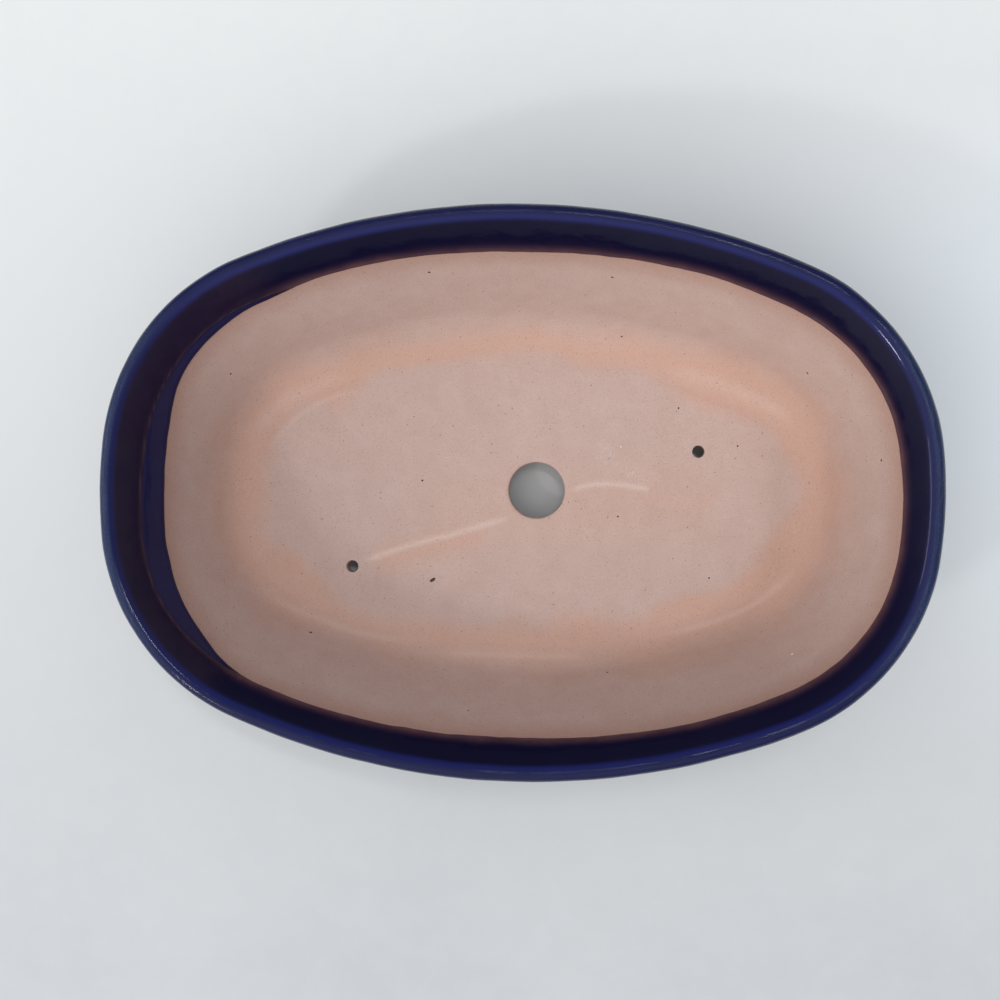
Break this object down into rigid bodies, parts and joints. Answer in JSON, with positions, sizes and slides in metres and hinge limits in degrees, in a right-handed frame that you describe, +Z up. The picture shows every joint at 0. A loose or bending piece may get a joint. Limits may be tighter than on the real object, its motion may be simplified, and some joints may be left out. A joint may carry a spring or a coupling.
{
  "type": "bonsai pot",
  "caption": "Shallow oval bonsai pot with a rolled lip, cobalt glaze outside and over the lip, bare pink clay inside, a drain hole, wire holes and bracket feet.",
  "frame": {"origin": "centre of the pot on the surface that its feet stand on", "axes": "+X along the pot's long axis, +Y towards its back, +Z up"},
  "size_m": [0.35, 0.2392, 0.09],
  "materials": {
    "bare_clay": "matt, unglazed pink-beige stoneware with fine grog and iron specks",
    "cobalt_glaze": "gloss cobalt blue glaze, thinner and browner where it ends inside",
    "glazed_foot": "gloss cobalt blue glaze, wiped bare on the sole"
  },
  "bodies": {
    "root": {"floor_slab": "bare_clay", "wall": "bare_clay", "rim_band": "bare_clay", "glaze_coat": "cobalt_glaze", "foot_front_left": "glazed_foot", "foot_front_right": "glazed_foot", "foot_back_left": "glazed_foot", "foot_back_right": "glazed_foot"}
  },
  "joints": []
}
